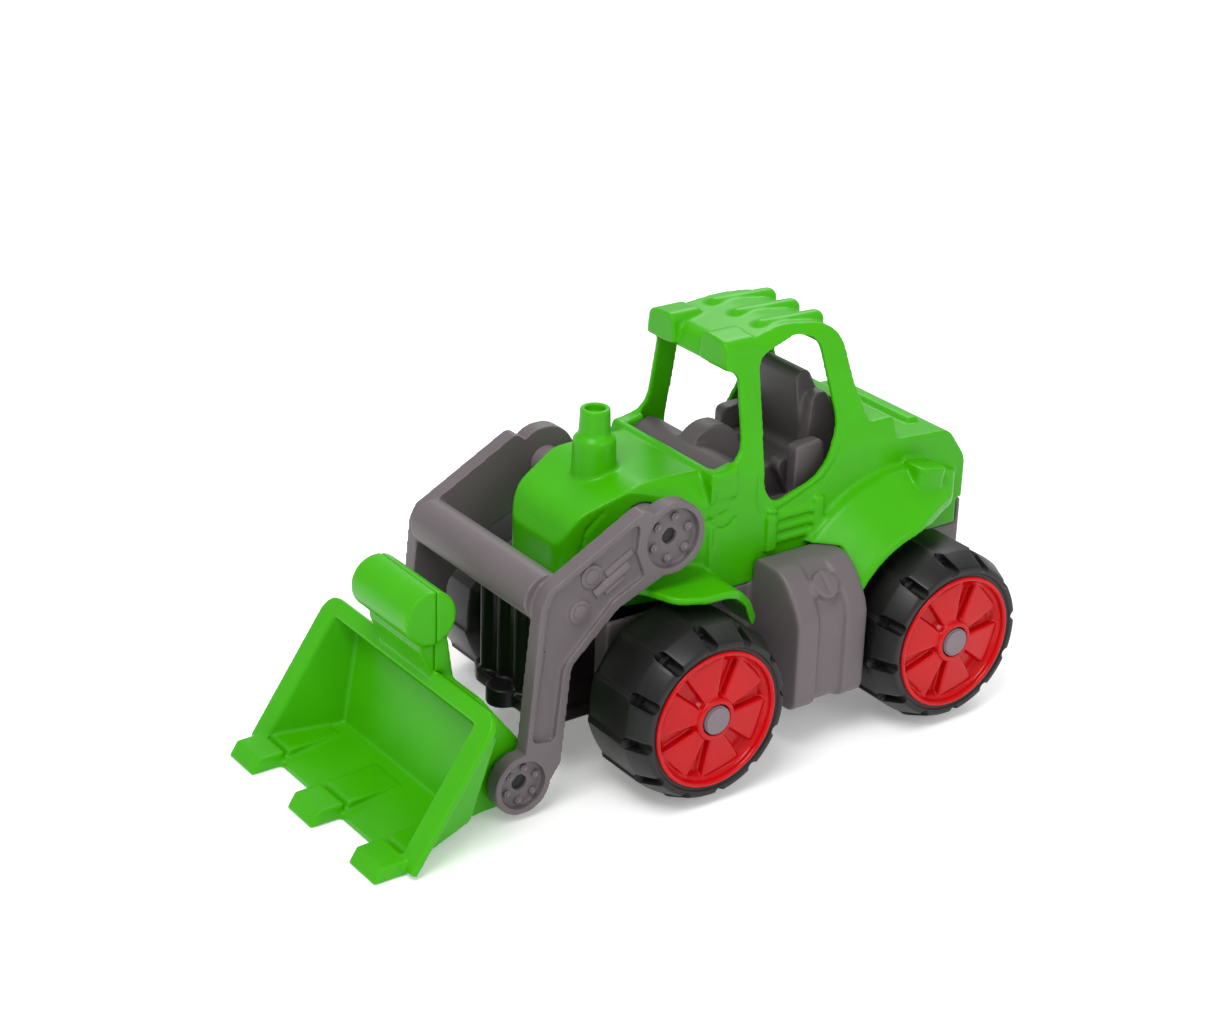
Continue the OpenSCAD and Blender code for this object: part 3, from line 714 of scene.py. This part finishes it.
@dataclass
class BodyShell(Moulding):
    """The green shell: hood, stack, cab, roof, deck, fenders and ladders."""

    node: str = "body_shell"
    body: str = "loader"
    slot: str = "body_green"
    finish: Finish = GREEN
    grid: float = 0.7 * MM
    rounds: int = 5
    most_faces: int = 190_000
    line: float = 0.8 * MM
    wedge_x: float = 0.0315
    wedge_half: float = 0.0034
    deck_drop: float = 0.055

    def add(self, piece: Thing) -> Thing:
        """Cuts the moulded lines and adds the deck bar and the wedges by the windshield.

        Args:
            piece: the merged copy of the CAD solid.

        Returns:
            The piece with its detail.
        """
        cords = join(*[bead(line, self.line) for line in self.lines()])
        cut(piece, join(mirrored(cords), cords))
        return join(self.deck_bar(), *[self.wedge(side) for side in Side], piece)

    def deck_bar(self) -> Thing:
        """Makes the low bar across the rear deck."""
        deck = self.height(0.0033, 0.1312)
        return box((-0.022, 0.1275, deck - 0.003), (0.022, 0.1345, deck + 0.0022), 0.0018)

    def wedge(self, side: Side) -> Thing:
        """Makes the small wedge at the windshield's foot.

        Args:
            side: the side of the loader.

        Returns:
            The wedge.
        """
        x = side.value * self.wedge_x
        shoulder = self.height(0.0312, 0.0216)
        foot = shoulder - 0.012
        outline = [(0.0185, foot), (0.0185, shoulder - 0.001), (0.029, shoulder + 0.0012), (0.029, foot)]
        return soften(plate(outline, x - self.wedge_half, x + self.wedge_half), 0.001)

    def height(self, x: float, y: float) -> float:
        """Finds the top of the shell at a place, with one ray and two more close beside it.

        Args:
            x: the place, in metres.
            y: the place, in metres.

        Returns:
            The Z of the surface, or of the usual deck height if all three rays miss.
        """
        rays = [(x, y), (x + 0.0011, y + 0.0013), (x - 0.0011, y - 0.0013)]
        found = trace(self.source, rays, Axis.Z, 0.2)
        return found[0].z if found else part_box(self.node)[1].z - self.deck_drop

    def lines(self) -> list[list[Vector]]:
        """Traces the left side's moulded lines on the surface.

        Returns:
            The lines that landed, each as its points in metres.
        """
        seam = dense(millimetres((18.5, 86), (18.5, 110)))
        across = dense(millimetres((30, 18.5), (0.2, 18.5)))
        ring = arc((0.0225, 0.1), 0.0068, 25, 335, 20)
        handle = dense(millimetres((13.5, 97.5), (19, 99), (24.5, 100.5)))
        door_foot = dense(millimetres(
            (39.5, 110), (39.6, 99.5), (42, 95), (48, 93.8), (60, 98), (73, 103.2), (79, 110), (83.6, 124),
        ))
        door_front = dense(millimetres((39.5, 107), (39.7, 155)))
        hood_band = dense(millimetres((-38, 84), (-34, 101), (-27, 108.5)))
        from_side, from_above = (Axis.X, 0.09), (Axis.Z, 0.125)
        traced = [
            trace(self.source, route, *start) for route, start in (
                (seam, from_side), (across, from_above), (ring, from_side), (handle, from_side),
                (door_foot, from_side), (door_front, from_side), (hood_band, from_side),
            )
        ]
        return [line for line in traced if len(line) > 2]


@dataclass
class LiftFrame(Moulding):
    """The grey arms and cross tube, with their moulded relief."""

    node: str = "lift_frame"
    body: str = "lift"
    slot: str = "frame_grey"
    finish: Finish = GREY
    grid: float = 0.5 * MM
    rounds: int = 3
    most_faces: int = 150_000
    recess: float = 2.2 * MM
    pads: tuple[Point, ...] = ((-37, -7), (-42, -20.5))
    bars: tuple[tuple[Point, Point, float], ...] = (
        ((-18, -1.5), (-30, -8.5), 1.7),
        ((-19.5, -6.5), (-35, -15.5), 2.4),
        ((-21.5, -11), (-30, -16), 1.5),
        ((-58.5, -33), (-62, -55), 1.9),
        ((-59.5, -38), (-63.5, -64), 1.2),
    )

    def engrave(self, piece: Thing) -> Thing:
        """Adds the bars, pads and nuts that stand crisp in the recessed faces.

        Args:
            piece: the remade frame.

        Returns:
            The frame with its relief on both sides.
        """
        _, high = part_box(self.node)
        floor = high.x - self.recess
        joints = {joint["name"]: Vector(joint["pos_m"]) for joint in RECORD["behaviour"]["joints"]}
        top, low = joints["lift"], joints["bucket_tilt"]
        relief = self.nuts(top, high.x, 8.4 * MM, 1.9 * MM) + self.nuts(low, high.x, 6.8 * MM, 1.6 * MM)
        for y, z in millimetres(*self.pads):
            centre = (floor, top.y + y, top.z + z)
            relief.append(self.pad(centre, 4.8 * MM, 1.3 * MM))
            relief.append(self.pad(centre, 3.0 * MM, 1.9 * MM))
        for start, end, half in self.bars:
            relief.append(self.bar(top, floor, start, end, half * MM))
        return join(*relief, *[mirrored(thing) for thing in relief], piece)

    @staticmethod
    def pad(centre: Sequence[float], radius: float, rise: float) -> Thing:
        """Makes one low round pad with a rounded edge."""
        x, y, z = centre
        return soften(drum((x + rise / 2 - 0.0004, y, z), radius, rise + 0.0008, Axis.X, 48), 0.0004, 2)

    @staticmethod
    def bar(top: Vector, floor: float, start: Point, end: Point, half: float) -> Thing:
        """Makes one half-round bar on the recessed face.

        Args:
            top: the upper pivot.
            floor: the X of the recessed face.
            start: one end as (y, z) from the pivot, in millimetres.
            end: the other end.
            half: half the bar's width, in metres.

        Returns:
            The bar.
        """
        a = Vector((floor, top.y + start[0] * MM, top.z + start[1] * MM))
        b = Vector((floor, top.y + end[0] * MM, top.z + end[1] * MM))
        along = b - a
        put_down()
        bpy.ops.mesh.primitive_cylinder_add(
            vertices=24, radius=half, depth=along.length, location=(a + b) / 2,
            rotation=along.to_track_quat("Z", "Y").to_euler(),
        )
        rod = settle(bpy.context.object)
        for vertex in rod.data.vertices:
            vertex.co.x = floor + (vertex.co.x - floor) * 0.6
        return soften(rod, 0.0003, 2, 60)

    @staticmethod
    def nuts(centre: Vector, face: float, ring: float, size: float) -> list[Thing]:
        """Makes six hexagon nuts with a round end of thread in each.

        Args:
            centre: the pivot.
            face: the X of the boss's outer rim.
            ring: the radius that they sit on.
            size: a nut's radius.

        Returns:
            The nuts and thread ends.
        """
        made = []
        base = face - 3.0 * MM
        for index in range(6):
            turn = math.radians(60 * index + 20)
            y, z = centre.y + ring * math.cos(turn), centre.z + ring * math.sin(turn)
            made.append(soften(drum((base + 0.0006, y, z), size, 0.0022, Axis.X, 6), 0.00025, 2, 20))
            made.append(soften(drum((base + 0.0010, y, z), size * 0.45, 0.0026, Axis.X, 20), 0.00015, 1, 60))
        return made


@dataclass
class Wheels:
    """The four wheels: a lugged tyre and a dished rim, made once and copied to each corner."""

    lugs: int = 12
    phase: float = 6.0
    notch: float = 2.4 * MM
    petals: int = 6
    steps: int = 144
    clearance: float = 0.00005
    tread_step: float = 0.0012
    tread_bow: float = 0.0022

    def build(self) -> None:
        """Makes both pieces for the front left corner and puts copies at the others."""
        for kind, piece, finish in (("tyre", self.tyre(), TYRE), ("rim", self.rim(), RED)):
            smooth(piece, 38)
            dress(piece, finish)
            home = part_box(f"{kind}_front_left")[0]
            for end in ("front", "rear"):
                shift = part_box(f"{kind}_{end}_left")[0] - home
                for side in Side:
                    self.place(piece, kind, end, side, shift)
            bpy.data.objects.remove(piece)

    @staticmethod
    def place(master: Thing, kind: str, end: str, side: Side, shift: Vector) -> None:
        """Puts a copy of a master piece at one corner.

        Args:
            master: the piece at the front left corner.
            kind: tyre or rim.
            end: front or rear.
            side: the side of the loader.
            shift: how far the corner is from the front left one.
        """
        node = f"{kind}_{end}_{side.name.lower()}"
        piece = bpy.data.objects.new(f"{node}_detailed", master.data.copy())
        bpy.context.collection.objects.link(piece)
        piece.data.transform(Matrix.Translation(shift))
        if side is Side.RIGHT:
            piece.data.transform(Matrix.Scale(-1, 4, (1, 0, 0)))
            mend(piece)
        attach(piece, f"wheel_{end}_{side.name.lower()}")
        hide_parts(node)
        LOG.info("%s: %d faces", piece.name, len(piece.data.polygons))

    def tyre(self) -> Thing:
        """Turns the tyre, facets its tread and cuts the shoulder notches.

        Returns:
            The tyre of the front left corner.
        """
        low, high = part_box("tyre_front_left")
        middle = Vector((low.x, (low.y + high.y) / 2, (low.z + high.z) / 2))
        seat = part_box("rim_front_left")[1].z - (low.z + high.z) / 2 + self.clearance
        wide = high.x - low.x
        tread = high.y - middle.y
        outer, top = middle.x + wide, middle.z + tread
        tyre = lathe(
            [
                (seat, 0.0), (tread - 0.0052, 0.0), (tread - 0.0022, 0.0012), (tread - 0.0002, 0.0034),
                (tread, 0.0044), (tread, wide - 0.0105), (tread - 0.0004, wide - 0.0094),
                (tread - 0.0040, wide - 0.0012), (tread - 0.0050, wide - 0.0002), (tread - 0.0060, wide),
                (seat + 0.0016, wide), (seat + 0.0012, wide - 0.0006), (seat, wide - 0.0006),
            ],
            middle, self.steps,
        )
        self.facet(tyre, middle, tread)
        groove = box(
            (middle.x + 0.0046, middle.y - 0.00035, top - 0.0010),
            (outer - 0.009, middle.y + 0.00035, top + 0.001),
        )
        ridge = lathe(
            [
                (tread - 0.0008, 0.0030), (tread + 0.001, 0.0030),
                (tread + 0.001, 0.0036), (tread - 0.0008, 0.0036),
            ],
            middle, 72,
        )
        notch = join(
            box(
                (outer - 0.0092, middle.y - self.notch, top - 0.0046),
                (outer + 0.002, middle.y + self.notch, top + 0.003),
            ),
            drum((outer - 0.0036, middle.y, top - 0.0046), self.notch, 0.0112, Axis.X, 24),
            drum((outer - 0.0092, middle.y, top - 0.0008), self.notch, 0.0076, Axis.Z, 24),
        )
        cut(tyre, copies_round(groove, middle, self.lugs, self.phase))
        cut(tyre, ridge)
        cut(tyre, copies_round(notch, middle, self.lugs, self.phase))
        return soften(mend(tyre, 2e-6), 0.00045, 2, 30)

    def facet(self, tyre: Thing, middle: Vector, tread: float) -> None:
        """Flattens the tread between lugs, each facet dropping to a step at the next.

        Args:
            tyre: the turned tyre.
            middle: the centre of its inner face.
            tread: its radius.
        """
        pitch = math.tau / self.lugs
        start = math.radians(self.phase)
        shoulder, blend = 0.0055, 0.005
        for vertex in tyre.data.vertices:
            y, z = vertex.co.y - middle.y, vertex.co.z - middle.z
            radius = math.hypot(y, z)
            share = min(1.0, max(0.0, (radius - tread + shoulder) / blend))
            turn = ((math.atan2(-y, z) - start) / pitch + 1e-6) % 1.0
            drop = share * (self.tread_step * turn + self.tread_bow * turn * (1 - turn))
            factor = (radius - drop) / radius
            vertex.co.y = middle.y + y * factor
            vertex.co.z = middle.z + z * factor

    def rim(self) -> Thing:
        """Turns the shallow dish and raises the petals in it.

        Returns:
            The rim of the front left corner.
        """
        low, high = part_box("rim_front_left")
        middle = Vector((low.x, (low.y + high.y) / 2, (low.z + high.z) / 2))
        lip, front, hub = high.z - middle.z, high.x - low.x, 0.0088
        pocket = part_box("hub_cap_front_left")[1].z - middle.z + 0.0006
        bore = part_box("front_axle")[1].z - middle.z + self.clearance
        inner, web, face, seat = lip - 0.0022, front - 0.0140, front - 0.0005, front - 0.0092
        section = [
            (bore, 0.0), (hub, 0.0), (hub, web), (inner, web), (inner, 0.0), (lip, 0.0),
            (lip, front - 0.0006), (lip - 0.0006, front), (lip - 0.0013, front),
            (lip - 0.0019, front - 0.0007), (inner, front - 0.0022), (lip - 0.0052, front - 0.0058),
            (hub + 0.0016, front - 0.0052), (hub + 0.0004, front - 0.0030), (hub - 0.0002, front - 0.0009),
            (hub - 0.0009, face), (pocket, face), (pocket, seat), (bore, seat),
        ]
        rim = lathe(section, middle, 96)
        rim = join(copies_round(self.petal(middle, lip, front, hub), middle, self.petals, 12.0), rim)
        modify(rim, "REMESH", mode="VOXEL", voxel_size=0.00038)
        modify(rim, "SMOOTH", factor=0.5, iterations=3)
        modify(rim, "DECIMATE", ratio=min(1.0, 70_000 / (2 * len(rim.data.polygons))))
        return rim

    @staticmethod
    def petal(middle: Vector, lip: float, front: float, hub: float) -> Thing:
        """Makes one broad raised wedge between the boss and the lip, above the centre.

        Args:
            middle: the centre of the rim's inner face.
            lip: the rim's radius.
            front: its width.
            hub: the boss's radius.

        Returns:
            The wedge.
        """
        face = middle.x + front
        near_half, far_half, flare = 0.0030, 0.0097, 0.0012
        near_drop, far_drop, root = 0.0019, 0.0029, 0.0110
        put_down()
        bpy.ops.mesh.primitive_cube_add(size=1)
        wedge = bpy.context.object
        for vertex in wedge.data.vertices:
            near, top = vertex.co.z < 0, vertex.co.x > 0
            half = (near_half if near else far_half) + (0.0 if top else flare)
            vertex.co = (
                face - ((near_drop if near else far_drop) if top else root),
                middle.y + math.copysign(half, vertex.co.y),
                middle.z + (hub - 0.0008 if near else lip - 0.0016 - (0.0026 if top else 0.0)),
            )
        return soften(mend(wedge), 0.0008, 3)


@dataclass
class Studio:
    """The floor, the lights and the camera."""

    eye: tuple[float, float, float] = (0.7490, -0.5517, 0.5139)
    heading: float = 54.143
    tilt: float = 65.690
    roll: float = 1.710
    lens: float = 76.21
    shift: tuple[float, float] = (0.0024, 0.0024)

    def build(self) -> None:
        """Sets up everything that isn't part of the loader."""
        self.floor()
        self.lights()
        self.camera()

    def floor(self) -> None:
        """Lays a wide pale floor."""
        put_down()
        bpy.ops.mesh.primitive_plane_add(size=16)
        floor = settle(bpy.context.object, "studio_floor")
        white = bpy.data.materials.new("studio_white")
        white.use_nodes = True
        shader = white.node_tree.nodes["Principled BSDF"]
        shader.inputs["Base Color"].default_value = (0.92, 0.92, 0.92, 1)
        shader.inputs["Roughness"].default_value = 0.9
        shader.inputs["Emission Color"].default_value = (1, 1, 1, 1)
        shader.inputs["Emission Strength"].default_value = 0.22
        floor.data.materials.append(white)

    def lights(self) -> None:
        """Hangs three soft boxes in a pale room."""
        world = bpy.data.worlds.new("pale_room")
        world.use_nodes = True
        world.node_tree.nodes["Background"].inputs["Color"].default_value = (1, 1, 1, 1)
        world.node_tree.nodes["Background"].inputs["Strength"].default_value = 0.62
        bpy.context.scene.world = world
        self.softbox("key", (0.45, -0.75, 1.5), 0.8, 17)
        self.softbox("fill", (1.6, 0.3, 1.0), 0.9, 6)
        self.softbox("back", (-0.8, 0.9, 1.3), 0.9, 10)
        bpy.context.scene.view_settings.view_transform = "Standard"

    @staticmethod
    def softbox(name: str, place: Sequence[float], size: float, power: float) -> None:
        """Hangs one square light that faces the loader.

        Args:
            name: its name.
            place: where it hangs, in metres.
            size: its side.
            power: its power in watts.
        """
        light = bpy.data.lights.new(name, "AREA")
        light.shape = "SQUARE"
        light.size = size
        light.energy = power
        lamp = bpy.data.objects.new(name, light)
        bpy.context.collection.objects.link(lamp)
        lamp.location = place
        aim = Vector((0, 0, 0.08)) - Vector(place)
        lamp.rotation_euler = aim.to_track_quat("-Z", "Y").to_euler()

    def camera(self) -> None:
        """Places the camera at the wanted angle."""
        data = bpy.data.cameras.new("camera")
        data.lens = self.lens
        data.sensor_width = 36
        data.shift_x, data.shift_y = self.shift
        data.clip_end = 30
        view = bpy.data.objects.new("camera", data)
        bpy.context.collection.objects.link(view)
        turn = (
            Matrix.Rotation(math.radians(self.heading), 4, "Z")
            @ Matrix.Rotation(math.radians(self.tilt), 4, "X")
            @ Matrix.Rotation(math.radians(self.roll), 4, "Z")
        )
        view.matrix_world = Matrix.Translation(Vector(self.eye)) @ turn
        bpy.context.scene.camera = view


def dress_cad(frame: dict) -> None:
    """Gives each CAD node that stays its finish.

    Args:
        frame: the loaded frame.
    """
    for name, node in frame["nodes"].items():
        if name.startswith("hub_cap"):
            dress(node, CAP)
        elif name.endswith("shaft"):
            dress(node, DARK_ROD)
        elif name.endswith(("axle", "screws")):
            dress(node, STEEL)
        elif name == "pivot_sleeve":
            dress(node, GREY)


def main() -> None:
    """Builds the looks, piece by piece."""
    logging.basicConfig(level=logging.INFO, format="%(name)s %(message)s")
    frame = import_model()
    NODES.update(frame["nodes"])
    RECORD.update(frame["record"])
    Studio().build()
    dress_cad(frame)
    Wheels().build()
    BodyShell().build()
    LiftFrame().build()
    for piece in (
        Moulding("bucket", "scoop", "bucket_green", GREEN, grid=0.6 * MM, rounds=9, most_faces=150_000),
        Moulding("bucket_back", "scoop", "bucket_green", GREEN, grid=0.6 * MM, rounds=7, most_faces=90_000),
        Moulding("chassis", "loader", "chassis_grey", GREY, grid=0.9 * MM, rounds=6, most_faces=120_000),
        # The nose's near-black colour is painted shade.
        Moulding("front_nose", "loader", "nose_black", SHADED_NOSE, grid=0.7 * MM, rounds=4, most_faces=60_000),
        # The cockpit's darker grey is painted shade.
        Moulding("cockpit", "loader", "cockpit_grey", SHADED_COCKPIT, grid=0.7 * MM, rounds=4, most_faces=100_000),
    ):
        piece.build()


if __name__ == "__main__":
    main()
